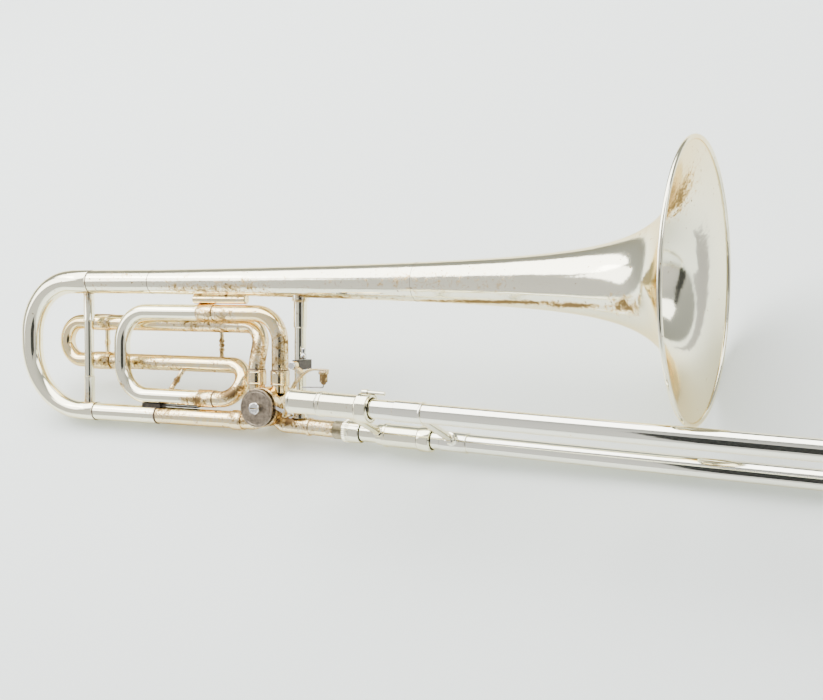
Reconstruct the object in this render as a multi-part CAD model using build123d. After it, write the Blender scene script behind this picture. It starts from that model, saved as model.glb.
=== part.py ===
"""Tenor trombone with an F attachment: each piece is a solid of its own, in its own STEP file.

The instrument is drawn with X along the bell, towards the mouth of the bell, Y from the neckpipe up to
the bell and Z towards the side of the mouthpiece. The origin is on the neckpipe's axis, level with
the bell's rim. REST then lays the finished model on a table. Millimetres.
"""
import math
import os

from build123d import *

# --- driving dimensions --------------------------------------------------------------------------
BELL_Y = 123.9            # bell axis above the neckpipe axis
BELL_RIM_R = 108.0        # an 8.5 inch bell
BELL_WALL = 0.6
BELL_LENGTH = 505.0       # rim to the end of the stem
BELL_STEM_R = 9.5         # the bell's outline: a slow cone plus a horn curve
BELL_TAPER = 0.009
BELL_HORN_X = 24.1
BELL_HORN_POWER = 1.3
BELL_SPLIT = 230.0        # where the flare is soldered to the stem
RIM_BEAD_R = 2.0
RIM_WIRE_R = 1.4

VALVE_X = -376.5          # rotor axis
VALVE_Y = 14.0
ROTOR_R = 13.95
CASING_IN_R = 14.0
CASING_OUT_R = 17.5
CASING_HALF = 17.0
DISC_R = 16.6

SLIDE_PIVOT_X = -397.0    # where the hand slide's axis leaves the neckpipe's axis
SLIDE_TILT = -1.935       # degrees, away from the bell
MOUTH_Y = 32.0            # mouthpiece tube, from the neckpipe-side tube of the hand slide
MOUTH_Z = 84.6
INNER_R = 7.15            # hand slide inner tube, a 13.9 mm bore
BORE_R = 6.95
STOCKING_R = 7.2
OUTER_IN_R = 7.25
OUTER_R = 7.7
SEAM_GAP = 0.3            # between the end of a sleeve and the ferrule that closes on it
SLIDE_TRAVEL = 575.0

REST_ROLL = 43.7          # degrees about X, bell rim and valve on the table
REST_PITCH = -0.76        # degrees about Y, slide end on the table

# --- stations along X (horn) and along the hand slide (S, from SLIDE_PIVOT_X) --------------------
BOW_LEFT_X = -657.0       # centre line of the main tuning bow's far end
UPPER_SEAM_X = -579.0
LOWER_SEAM_X = -574.0
SLEEVE_END_X = -505.0
NECK_SLEEVE_END_X = -500.0
NECK_END_X = -413.0
TS_BRACE_X = -584.0

F_TUBE_R = 7.4
F_BORE_R = 6.7
F_SLIDE_BOW_R = 7.0
F_BACK_Z = -18.0
LOOP_TOP_Y = 96.0
LOOP_BOTTOM_Y = 17.7
LOOP_LEFT_X = -543.5
LOOP_SEAM_X = -436.5
F_UPPER_Y = 85.0
F_LOWER_Y = 47.8
F_SEAM_X = -591.0
F_BOW_X = -609.0
F_SLEEVE_SEAM_X = -570.0
TUBE_1_X = -390.5
TUBE_2_X = -366.0

BELL_BRACE_X = -345.0
GOOSE_R = 7.0
LEVER_PIVOT = (-333.5, 53.0)
STUD_R = 11.0             # the drive stud under the disc, from the rotor axis
STUD_ANGLE = 22.7
LINK_Z = (17.3, 18.6)
STRAP_POINTS = [(-343.1, 9.1), (-336.9, 28.9), (-330.7, 39.9), (-321.8, 47.8), (-312.9, 50.2), (-300.2, 49.7)]

MOUTHPIECE_R = 6.5
RECEIVER_S = (96.0, 123.5)
UPPER_BARREL_S = (123.5, 169.0)
LOWER_BARREL_S = (137.0, 181.5)
OUTER_START_S = 150.0
SADDLE_S = (190.0, 213.5)
BOW_START_S = 849.0
INNER_END_S = 838.0

os.makedirs("parts", exist_ok=True)
NODES = {}


def node(name, *shapes):
    """Keep one piece, or a group of separate like pieces, under its node name."""
    solids = [solid for shape in shapes for solid in shape.solids()]
    NODES[name] = solids[0] if len(solids) == 1 else Compound(solids)


# --- helpers -------------------------------------------------------------------------------------
def rod(start, end, radius):
    """A solid cylinder from one point to another."""
    a = Vector(*start)
    b = Vector(*end)
    plane = Plane(origin=a, z_dir=b - a)
    return plane * Cylinder(radius, (b - a).length, align=(Align.CENTER, Align.CENTER, Align.MIN))


def pipe(start, end, outer, inner):
    """A straight tube from one point to another."""
    a = Vector(*start)
    b = Vector(*end)
    run = (b - a).normalized()
    return rod(start, end, outer) - rod(tuple(a - run), tuple(b + run), inner)


def pipe_x(x0, x1, outer, inner, y=0.0, z=0.0):
    """A straight tube along X."""
    return pipe((x0, y, z), (x1, y, z), outer, inner)


def bent_pipe(path, outer, inner):
    """A tube of constant section along a path of runs and tangent arcs."""
    section = Plane(origin=path @ 0, z_dir=path % 0) * (Circle(outer) - Circle(inner))
    return sweep(section, path=path)


def bent_rod(path, radius):
    """A solid wire along a path."""
    return sweep(Plane(origin=path @ 0, z_dir=path % 0) * Circle(radius), path=path)


def block(x0, x1, y0, y1, z0, z1):
    """A box between two corners."""
    size = (x1 - x0, y1 - y0, z1 - z0)
    return Pos((x0 + x1) / 2, (y0 + y1) / 2, (z0 + z1) / 2) * Box(*size)


def ring_x(x, radius, tube, y=0.0, z=0.0):
    """A small torus round an axis along X."""
    return Pos(x, y, z) * Rot(0, 90, 0) * Torus(radius, tube)


# --- the bell ------------------------------------------------------------------------------------
def bell_radius(depth):
    """Outside radius of the bell at a distance behind its rim."""
    cone = BELL_STEM_R + BELL_TAPER * (BELL_LENGTH - depth)
    rim_cone = BELL_STEM_R + BELL_TAPER * BELL_LENGTH
    horn = (BELL_HORN_X / (BELL_HORN_X + depth)) ** BELL_HORN_POWER
    return cone + (BELL_RIM_R - rim_cone) * horn


def bell_wall_at(depth):
    """The inner and outer profile points at a depth, the wall measured square to the surface."""
    step = 0.5
    slope = (bell_radius(depth) - bell_radius(depth + step)) / step
    tilt = math.atan(slope)
    radius = bell_radius(depth)
    outer = (-depth, radius)
    inner = (-depth + BELL_WALL * math.sin(tilt), radius - BELL_WALL * math.cos(tilt))
    return outer, inner


def bell_shell(depths):
    """Revolve the bell's wall over a list of depths, deepest first."""
    outer = []
    inner = []
    for depth in depths:
        o, i = bell_wall_at(depth)
        outer.append(o)
        inner.append(i)
    inner[0] = (outer[0][0], inner[0][1])
    profile = make_face(
        Curve() + [Spline(outer), Line(outer[-1], inner[-1]), Spline(inner[::-1]), Line(inner[0], outer[0])]
    )
    return Pos(0, BELL_Y, 0) * revolve(profile, Axis.X)


def build_bell():
    flare_depths = [BELL_SPLIT, 190, 150, 115, 85, 60, 42, 28, 17, 9, 4, 1.4, 0.35]
    stem_depths = [BELL_LENGTH, 450, 395, 340, 285, BELL_SPLIT]
    bead_ring = BELL_RIM_R - RIM_BEAD_R
    bead = Pos(0, BELL_Y, 0) * Rot(0, 90, 0) * Torus(bead_ring, RIM_BEAD_R)
    hollow = Pos(0, BELL_Y, 0) * Rot(0, 90, 0) * Torus(bead_ring, RIM_WIRE_R)
    flare = bell_shell(flare_depths) + bead - hollow
    node("bell_flare", flare)
    node("bell_stem", bell_shell(stem_depths))
    node("bell_rim_wire", hollow)
    node(
        "tuning_slide_sleeves",
        pipe_x(UPPER_SEAM_X + SEAM_GAP, SLEEVE_END_X, 11.2, 10.3, BELL_Y),
        pipe_x(LOWER_SEAM_X + SEAM_GAP, NECK_SLEEVE_END_X, 8.3, 7.75),
    )


# --- main tuning slide ---------------------------------------------------------------------------
def tapered_bow(r_upper, r_lower, x_upper, x_lower):
    """The main bow's centre line is a tight upper corner and a wide lower corner."""
    upper_corner = 52.0
    lower_corner = 63.0
    down = BELL_Y - upper_corner
    path = Line((x_upper, BELL_Y), (BOW_LEFT_X + upper_corner, BELL_Y))
    path += JernArc(path @ 1, path % 1, upper_corner, 90)
    path += Line((BOW_LEFT_X, down), (BOW_LEFT_X, lower_corner))
    path += JernArc((BOW_LEFT_X, lower_corner), (0, -1), lower_corner, 90)
    path += Line(path @ 1, (x_lower, 0))
    wire = Wire(path.edges())
    first = Plane(origin=wire @ 0, z_dir=wire % 0) * Circle(r_upper)
    last = Plane(origin=wire @ 1, z_dir=wire % 1) * Circle(r_lower)
    return sweep([first, last], path=wire, multisection=True)


def build_main_tuning_slide():
    bow_upper_x = -604.0
    bow_lower_x = -595.0
    bow = tapered_bow(11.1, 8.6, bow_upper_x, bow_lower_x)
    bore = tapered_bow(10.4, 7.9, bow_upper_x + 0.01, bow_lower_x + 0.01)
    node("tuning_slide_bow", bow - bore)
    node(
        "tuning_slide_ferrules",
        pipe_x(bow_upper_x, UPPER_SEAM_X, 11.3, 10.2, BELL_Y),
        pipe_x(bow_lower_x, LOWER_SEAM_X, 8.7, 7.68),
    )
    node(
        "tuning_slide_legs",
        pipe_x(bow_upper_x, SLEEVE_END_X - 12, 10.2, 9.6, BELL_Y),
        pipe_x(bow_lower_x, NECK_SLEEVE_END_X - 15, 7.68, 7.1),
    )
    upper_socket = rod((TS_BRACE_X, 86.4, 0), (TS_BRACE_X, BELL_Y - 7, 0), 5.0)
    lower_socket = rod((TS_BRACE_X, 5, 0), (TS_BRACE_X, 33.4, 0), 5.0)
    upper_fill = rod((bow_upper_x - 1, BELL_Y, 0), (UPPER_SEAM_X + 1, BELL_Y, 0), 11.3)
    lower_fill = rod((bow_lower_x - 1, 0, 0), (LOWER_SEAM_X + 1, 0, 0), 8.7)
    node(
        "tuning_slide_brace",
        rod((TS_BRACE_X, 33.4, 0), (TS_BRACE_X, 86.4, 0), 4.5),
        upper_socket - upper_fill,
        lower_socket - lower_fill,
    )


# --- neckpipe ------------------------------------------------------------------------------------
def build_neckpipe():
    node("neckpipe", pipe_x(NECK_SLEEVE_END_X, NECK_END_X, 7.75, 7.1))


# --- rotary valve --------------------------------------------------------------------------------
def valve_port(dx, dy, radius):
    """A radial drilling through the casing towards the rotor's axis."""
    return rod((VALVE_X + dx, VALVE_Y + dy, 0), (VALVE_X, VALVE_Y, 0), radius)


def build_valve():
    at = Pos(VALVE_X, VALVE_Y, 0)
    casing_body = at * Cylinder(CASING_OUT_R, 2 * CASING_HALF)
    casing = casing_body - at * Cylinder(CASING_IN_R, 2 * CASING_HALF + 2)
    for dx, dy in [(-14, -14), (14, -14), (-14, 13), (11, 12)]:
        casing -= valve_port(1.6 * dx, 1.6 * dy, 5.6)
    node("rotor_casing", casing)

    rotor = at * Cylinder(ROTOR_R, 27.6)
    for side in (-1, 1):
        rotor -= at * Pos(0, side * 19.8, 0) * Torus(14.0, 5.2)
    shaft = rod((VALVE_X, VALVE_Y, -17.5), (VALVE_X, VALVE_Y, 23.0), 3.5)
    node("rotor", rotor + shaft)

    plate = at * Pos(0, 0, 15.5) * (Cylinder(CASING_IN_R, 3.0) - Cylinder(3.55, 4.0))
    cap = at * Pos(0, 0, -18.5) * Cylinder(18.2, 3.0)
    bearing = at * Pos(0, 0, -15.5) * (Cylinder(CASING_IN_R, 3.0) - Cylinder(3.55, 4.0))
    node("rotor_bearings", plate, bearing)
    node("rotor_back_cap", cap - at * Pos(0, 0, -17.3) * Cylinder(4.0, 1.0))

    disc = at * Pos(0, 0, 20.6) * Cylinder(DISC_R, 2.4)
    disc -= at * Pos(0, 0, 20.6) * Cylinder(3.5, 3.0)
    disc = chamfer(disc.edges().filter_by(GeomType.CIRCLE).group_by(SortBy.RADIUS)[-1], 0.4)
    button = at * Pos(0, 0, 24.0) * (Cylinder(5.2, 4.4) - Pos(0, 0, 1.9) * Box(12, 1.2, 1.0))
    button -= at * Pos(0, 0, 21.9) * Cylinder(3.5, 2.4)
    node("rotor_drive_screw", button)
    stud = at * Rot(0, 0, STUD_ANGLE) * Pos(STUD_R, 0, 19.25) * Cylinder(1.5, 0.7)
    lug = at * Rot(0, 0, -135) * Pos(9.5, 0, 18.4) * Box(3.4, 2.6, 2.0)
    node("rotor_drive_disc", disc + stud + lug)
    node(
        "rotor_cork_bumpers",
        *[at * Rot(0, 0, angle) * Pos(10.5, 0, 18.0) * Cylinder(1.9, 2.0) for angle in (-154, -26)],
    )


def knuckle(points, radius, outer, inner):
    """A short bent tube that ends on the valve casing."""
    path = FilletPolyline(*points, radius=radius)
    casing = Pos(VALVE_X, VALVE_Y, 0) * Cylinder(CASING_OUT_R, 3 * CASING_HALF)
    return bent_pipe(path, outer, inner) - casing


def slide_point(s, across=0.0, z=0.0):
    """A point on the hand slide, in the instrument's frame: S along it, across towards the bell."""
    tilt = math.radians(SLIDE_TILT)
    x = SLIDE_PIVOT_X + s * math.cos(tilt) - across * math.sin(tilt)
    y = s * math.sin(tilt) + across * math.cos(tilt)
    return (x, y, z)


def build_knuckles():
    node(
        "valve_knuckles",
        knuckle([(NECK_END_X, 0, 0), (VALVE_X - 14, 0, 0), (VALVE_X - 2, 12, 0)], 9.0, 7.75, 6.9),
        knuckle([slide_point(58), slide_point(34.5), (VALVE_X + 2, 12, 0)], 9.0, 7.2, 6.4),
        knuckle([(TUBE_1_X, 36, 0), (TUBE_1_X, 26.5, 0), (VALVE_X - 2, 15, 0)], 8.2, 7.4, 6.4),
        knuckle([(TUBE_2_X, 36, 0), (TUBE_2_X, 25.5, 0), (VALVE_X + 2, 15, 0)], 8.2, 7.4, 6.4),
    )


# --- F attachment --------------------------------------------------------------------------------
def build_f_wrap():
    corner = 30.0
    ferrule_x = (LOOP_SEAM_X - 16.5, LOOP_SEAM_X + 1)
    node(
        "tube_ferrules",
        pipe_x(NECK_END_X - 2, NECK_END_X + 9, 8.9, 7.75),
        pipe((TUBE_1_X, 33, 0), (TUBE_1_X, 46, 0), 8.5, F_TUBE_R),
        pipe((TUBE_2_X, 33, 0), (TUBE_2_X, 46, 0), 8.5, F_TUBE_R),
        pipe_x(*ferrule_x, 8.2, F_TUBE_R, LOOP_TOP_Y),
        pipe_x(*ferrule_x, 8.2, F_TUBE_R, LOOP_BOTTOM_Y),
    )
    loop_right = FilletPolyline(
        (LOOP_SEAM_X, LOOP_TOP_Y, 0), (TUBE_2_X, LOOP_TOP_Y, 0), (TUBE_2_X, 36, 0), radius=25.0
    )
    node("f_loop_right_bend", bent_pipe(loop_right, F_TUBE_R, F_BORE_R))
    loop_left = FilletPolyline(
        (LOOP_SEAM_X, LOOP_TOP_Y, 0),
        (LOOP_LEFT_X, LOOP_TOP_Y, 0),
        (LOOP_LEFT_X, LOOP_BOTTOM_Y, 0),
        (LOOP_SEAM_X, LOOP_BOTTOM_Y, 0),
        radius=corner,
    )
    node("f_loop_left_bow", bent_pipe(loop_left, F_TUBE_R, F_BORE_R))
    rise = Vector(0, F_LOWER_Y - LOOP_BOTTOM_Y, F_BACK_Z)
    crook_path = Line((LOOP_SEAM_X, LOOP_BOTTOM_Y, 0), (-430, LOOP_BOTTOM_Y, 0))
    crook_path += ThreePointArc(
        crook_path @ 1,
        Vector(-430, LOOP_BOTTOM_Y, 0) + rise / 2 + Vector(rise.length / 2, 0, 0),
        Vector(-430, LOOP_BOTTOM_Y, 0) + rise,
    )
    crook_path += Line((-430, F_LOWER_Y, F_BACK_Z), (-446, F_LOWER_Y, F_BACK_Z))
    node("f_crook", bent_pipe(Wire(crook_path.edges()), F_TUBE_R, F_BORE_R))
    node(
        "f_slide_sleeves",
        pipe_x(F_SLEEVE_SEAM_X + SEAM_GAP, -446, F_TUBE_R, 6.85, F_LOWER_Y, F_BACK_Z),
        pipe_x(F_SLEEVE_SEAM_X + SEAM_GAP, -460, F_TUBE_R, 6.85, F_UPPER_Y, F_BACK_Z),
    )
    return_path = FilletPolyline(
        (-460, F_UPPER_Y, F_BACK_Z),
        (-432, F_UPPER_Y, F_BACK_Z),
        (TUBE_1_X - 0.5, F_UPPER_Y, -12.0),
        (TUBE_1_X, 51, 0),
        (TUBE_1_X, 36, 0),
        radius=[60.0, 21.0, 25.0],
    )
    node("f_return_bend", bent_pipe(return_path, F_TUBE_R, F_BORE_R))


def build_f_tuning_slide():
    rise = F_UPPER_Y - F_LOWER_Y
    path = Line((F_SEAM_X, F_UPPER_Y, F_BACK_Z), (F_BOW_X, F_UPPER_Y, F_BACK_Z))
    path += ThreePointArc(
        (F_BOW_X, F_UPPER_Y, F_BACK_Z),
        (F_BOW_X - rise / 2, (F_UPPER_Y + F_LOWER_Y) / 2, F_BACK_Z),
        (F_BOW_X, F_LOWER_Y, F_BACK_Z),
    )
    path += Line((F_BOW_X, F_LOWER_Y, F_BACK_Z), (F_SEAM_X, F_LOWER_Y, F_BACK_Z))
    node("f_slide_bow", bent_pipe(Wire(path.edges()), F_SLIDE_BOW_R, 6.2))
    node(
        "f_slide_ferrules",
        pipe_x(F_SEAM_X, F_SLEEVE_SEAM_X, 8.0, 6.78, F_UPPER_Y, F_BACK_Z),
        pipe_x(F_SEAM_X, F_SLEEVE_SEAM_X, 8.6, 6.78, F_LOWER_Y, F_BACK_Z),
    )
    node(
        "f_slide_legs",
        pipe_x(F_SEAM_X, -515, 6.78, 6.2, F_UPPER_Y, F_BACK_Z),
        pipe_x(F_SEAM_X, -505, 6.78, 6.2, F_LOWER_Y, F_BACK_Z),
    )
    brace = rod((-577, F_LOWER_Y + 4, F_BACK_Z), (-577, F_UPPER_Y - 4, F_BACK_Z), 2.2)
    brace += rod((-577, 64.5, F_BACK_Z), (-577, 67.5, F_BACK_Z), 2.9)
    brace -= rod((-595, F_UPPER_Y, F_BACK_Z), (-565, F_UPPER_Y, F_BACK_Z), 8.0)
    brace -= rod((-595, F_LOWER_Y, F_BACK_Z), (-565, F_LOWER_Y, F_BACK_Z), 8.6)
    node("f_slide_brace", brace)


# --- stays and brackets --------------------------------------------------------------------------
def build_stays():
    bar = rod((-459, 108.3, 0), (-401, 108.3, 0), 4.1)
    loop_fill = rod((-520, LOOP_TOP_Y, 0), (-395, LOOP_TOP_Y, 0), F_TUBE_R)
    ferrule_fill = rod((LOOP_SEAM_X - 16.5, LOOP_TOP_Y, 0), (LOOP_SEAM_X + 1, LOOP_TOP_Y, 0), 8.2)
    node("bell_to_loop_bar", bar - loop_fill - ferrule_fill - bell_solid(500, 380))

    flange = block(-516.5, -495.5, 7.0, 10.8, -4.5, 4.5)
    flange += block(-496.0, -455.0, 8.6, 9.8, -3.0, 3.0)
    flange -= rod((-530, 0, 0), (NECK_SLEEVE_END_X, 0, 0), 8.3)
    flange -= rod((NECK_SLEEVE_END_X, 0, 0), (-430, 0, 0), 7.75)
    flange -= rod((-530, LOOP_BOTTOM_Y, 0), (-430, LOOP_BOTTOM_Y, 0), F_TUBE_R)
    node("loop_to_neck_bracket", flange)

    stay = rod((-441.5, F_LOWER_Y + 5, F_BACK_Z), (-441.5, F_UPPER_Y - 5, F_BACK_Z), 1.9)
    for height in (63.0, 66.5, 70.0):
        stay += Pos(-441.5, height, F_BACK_Z) * Rot(90, 0, 0) * Torus(1.9, 0.8)
    stay -= rod((-450, F_UPPER_Y, F_BACK_Z), (-436, F_UPPER_Y, F_BACK_Z), F_TUBE_R)
    stay -= rod((-450, F_LOWER_Y, F_BACK_Z), (-425, F_LOWER_Y, F_BACK_Z), F_TUBE_R)

    low = (-489.0, LOOP_BOTTOM_Y + 4, -1.5)
    high = (-483.0, F_LOWER_Y - 3, F_BACK_Z + 1.5)
    slanted = rod(low, high, 2.2)
    middle = (Vector(*low) + Vector(*high)) / 2
    slanted += rod(tuple(middle - (Vector(*high) - Vector(*low)) * 0.06), tuple(middle), 3.0)
    slanted -= rod((-520, LOOP_BOTTOM_Y, 0), (-440, LOOP_BOTTOM_Y, 0), F_TUBE_R)
    slanted -= rod((-520, F_LOWER_Y, F_BACK_Z), (-440, F_LOWER_Y, F_BACK_Z), F_TUBE_R)
    node("f_wrap_stays", stay, slanted)

    stem = bell_solid(380, 310)
    upper = rod((BELL_BRACE_X, 84, 0), (BELL_BRACE_X, BELL_Y - 6, 0), 5.9) - stem
    flange = rod((BELL_BRACE_X, 107.5, 0), (BELL_BRACE_X, BELL_Y - 6, 0), 7.4) - stem
    foot = rod((BELL_BRACE_X, 0, 0), (BELL_BRACE_X, 10.5, 0), 7.2)
    foot -= slide_rod(30, 58, 7.2)
    foot -= slide_rod(58, 80, GOOSE_R)
    lower = rod((BELL_BRACE_X, 10.5, 0), (BELL_BRACE_X, 84, 0), 5.0)
    node("bell_brace", upper - flange, flange, lower, foot)


def bell_solid(depth_far, depth_near):
    """The bell's outline as a solid between two depths, to trim stays against it."""
    count = 6
    step = (depth_far - depth_near) / count
    points = [(-depth_far + i * step, bell_radius(depth_far - i * step)) for i in range(count + 1)]
    side = Spline(points)
    foot_near = Line(points[-1], (points[-1][0], 0))
    foot_far = Line((points[0][0], 0), points[0])
    axis_line = Line((points[-1][0], 0), (points[0][0], 0))
    profile = make_face(Curve() + [side, foot_near, axis_line, foot_far])
    return Pos(0, BELL_Y, 0) * revolve(profile, Axis.X)


# --- thumb lever and its linkage -----------------------------------------------------------------
def build_lever():
    px, py = LEVER_PIVOT
    saddle = block(px - 4.6, px + 2.4, py - 4.2, py + 4.2, 3.6, 23.5)
    saddle -= rod((BELL_BRACE_X, 0, 0), (BELL_BRACE_X, 90, 0), 5.0)
    saddle += rod((px, py, 23.5), (px, py, 25.2), 3.4)
    node("lever_saddle", saddle)
    clamp = rod((px - 0.5, py + 4.2, 12), (px - 0.5, py + 11.0, 12), 1.6)
    clamp += Pos(px - 0.5, py + 7.2, 12) * Sphere(2.9)
    clamp += rod((px - 0.5, py + 10.5, 12), (px - 0.5, py + 14.0, 12), 2.2)

    z_low = 25.6
    width = 5.4
    outline = Spline(*STRAP_POINTS)
    strap = extrude(trace(outline, 1.7), amount=width)
    strap += extrude(trace(Line((px, py), (-324.6, 45.9)), 3.4), amount=width)
    hub = Cylinder(3.4, width, align=(Align.CENTER, Align.CENTER, Align.MIN))
    strap = Pos(0, 0, z_low) * strap + Pos(px, py, z_low) * hub
    strap -= Pos(px, py, z_low - 1) * Cylinder(1.65, 20, align=(Align.CENTER, Align.CENTER, Align.MIN))
    knob_x, knob_y = STRAP_POINTS[-1]
    knob_x -= 4.0
    knob_z = z_low + width / 2
    pin = rod((px, py, 25.2), (px, py, z_low + width + 0.3), 1.6)
    pin += rod((px, py, z_low + width + 0.3), (px, py, z_low + width + 1.9), 3.2)
    node("lever_screws", clamp, pin)
    top = knob_y - 0.85
    washer = rod((knob_x, top, knob_z), (knob_x, top - 2.4, knob_z), 4.3)
    knob = rod((knob_x, top - 2.4, knob_z), (knob_x, top - 9.0, knob_z), 3.4)
    knob += Pos(knob_x, top - 9.0, knob_z) * Sphere(2.4)
    node("thumb_knob", knob, washer)
    wire_y = top - 13.4
    wire = FilletPolyline(
        (knob_x, top - 11.4, knob_z),
        (knob_x, wire_y, knob_z),
        (knob_x - 21.0, wire_y - 0.6, knob_z),
        radius=1.4,
    )
    node("thumb_lever_wire", bent_rod(wire, 0.6))
    end_x, end_y = STRAP_POINTS[0]
    node("thumb_lever", strap + rod((end_x, end_y, LINK_Z[0] - 0.2), (end_x, end_y, z_low + 1), 1.1))


def build_link():
    """The link hangs on the lever's pin and reaches under the disc, to the drive stud."""
    end_x, end_y = STRAP_POINTS[0]
    angle = math.radians(STUD_ANGLE)
    stud_x = VALVE_X + STUD_R * math.cos(angle)
    stud_y = VALVE_Y + STUD_R * math.sin(angle)
    low, high = LINK_Z
    run = Vector(stud_x - end_x, stud_y - end_y, 0)
    heading = math.degrees(math.atan2(run.Y, run.X))
    turned = Pos(end_x, end_y, (low + high) / 2) * Rot(0, 0, heading)
    bar = turned * Pos(run.length / 2, 0, 0) * Box(run.length, 2.6, high - low)
    bar += turned * Cylinder(2.5, high - low)
    bar += turned * Pos(run.length, 0, 0) * Cylinder(2.5, high - low)
    bar -= turned * Cylinder(1.15, 3 * (high - low))
    node("valve_link", bar)


# --- receivers, nut and barrels ------------------------------------------------------------------
def slide_pipe(s0, s1, outer, inner, across=0.0, z=0.0):
    """A tube along the hand slide's axis."""
    return pipe(slide_point(s0, across, z), slide_point(s1, across, z), outer, inner)


def slide_rod(s0, s1, radius, across=0.0, z=0.0):
    """A solid cylinder along the hand slide's axis."""
    return rod(slide_point(s0, across, z), slide_point(s1, across, z), radius)


def build_receivers():
    node("gooseneck", slide_pipe(58, 88, GOOSE_R, 6.4) + slide_pipe(61.0, 63.5, 8.0, GOOSE_R))
    thread = slide_pipe(88, 106, 7.6, 6.75)
    for i in range(5):
        thread += slide_pipe(89.5 + 1.6 * i, 90.3 + 1.6 * i, 8.0, 7.5)
    node("slide_receiver_thread", thread)
    nut = slide_pipe(98.0, 106.2, 9.6, 8.1) + slide_pipe(106.2, 114.5, 9.6, 8.9)
    for i in range(24):
        step = 15.0 * i
        a = math.radians(step)
        ridge = rod(
            slide_point(99.0, 9.55 * math.cos(a), 9.55 * math.sin(a)),
            slide_point(104.5, 9.55 * math.cos(a), 9.55 * math.sin(a)),
            0.45,
        )
        nut += ridge
    node("lock_nut", nut)
    node("slide_taper", slide_pipe(107, 137, 7.7, INNER_R) + slide_pipe(107.0, 109.0, 8.5, INNER_R))

    m = {"across": MOUTH_Y, "z": MOUTH_Z}
    ring = slide_pipe(96.0, 98.5, 9.9, 9.3, **m)
    node("mouthpiece_receiver", slide_pipe(*RECEIVER_S, 9.3, MOUTHPIECE_R, **m) + ring)


def build_barrels():
    barrels = []
    corks = []
    for s0, s1, across, z in [(*UPPER_BARREL_S, MOUTH_Y, MOUTH_Z), (*LOWER_BARREL_S, 0.0, 0.0)]:
        barrel = slide_pipe(s0, s1, 9.6, 8.7, across, z)
        barrel += slide_pipe(s0, s0 + 2.0, 9.6, INNER_R, across, z)
        barrel += slide_pipe(s0, s0 + 3.0, 10.2, 9.6, across, z)
        barrel += slide_pipe(s1 - 11.5, s1, 10.7, 9.6, across, z)
        barrels.append(barrel)
        corks.append(slide_pipe(s0 + 2.0, OUTER_START_S - 0.4, 8.65, INNER_R, across, z))
    node("slide_barrels", *barrels)
    node("barrel_corks", *corks)
    band = slide_pipe(131.0, 137.0, 9.0, 7.7)
    axis_dir = Vector(0, MOUTH_Y, MOUTH_Z).normalized()
    near = Vector(0, 0, 0) + axis_dir * 6.0
    far = Vector(0, MOUTH_Y, MOUTH_Z) - axis_dir * 6.0
    handle = rod(slide_point(134.0, near.Y, near.Z), slide_point(134.0, far.Y, far.Z), 3.0)
    handle -= slide_rod(120, 150, 9.0)
    handle -= slide_rod(110, 150, 10.2, MOUTH_Y, MOUTH_Z)
    node("inner_brace", handle, band)
    lock = slide_pipe(159.0, 168.5, 11.9, 10.8, MOUTH_Y, MOUTH_Z)
    tab = slide_rod(161.0, 181.0, 1.5, MOUTH_Y + 12.2, MOUTH_Z + 2.0)
    tab += slide_rod(161.0, 166.5, 2.2, MOUTH_Y + 12.2, MOUTH_Z + 2.0)
    node("slide_lock_ring", lock + tab - slide_rod(150, 175, 10.8, MOUTH_Y, MOUTH_Z))


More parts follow.
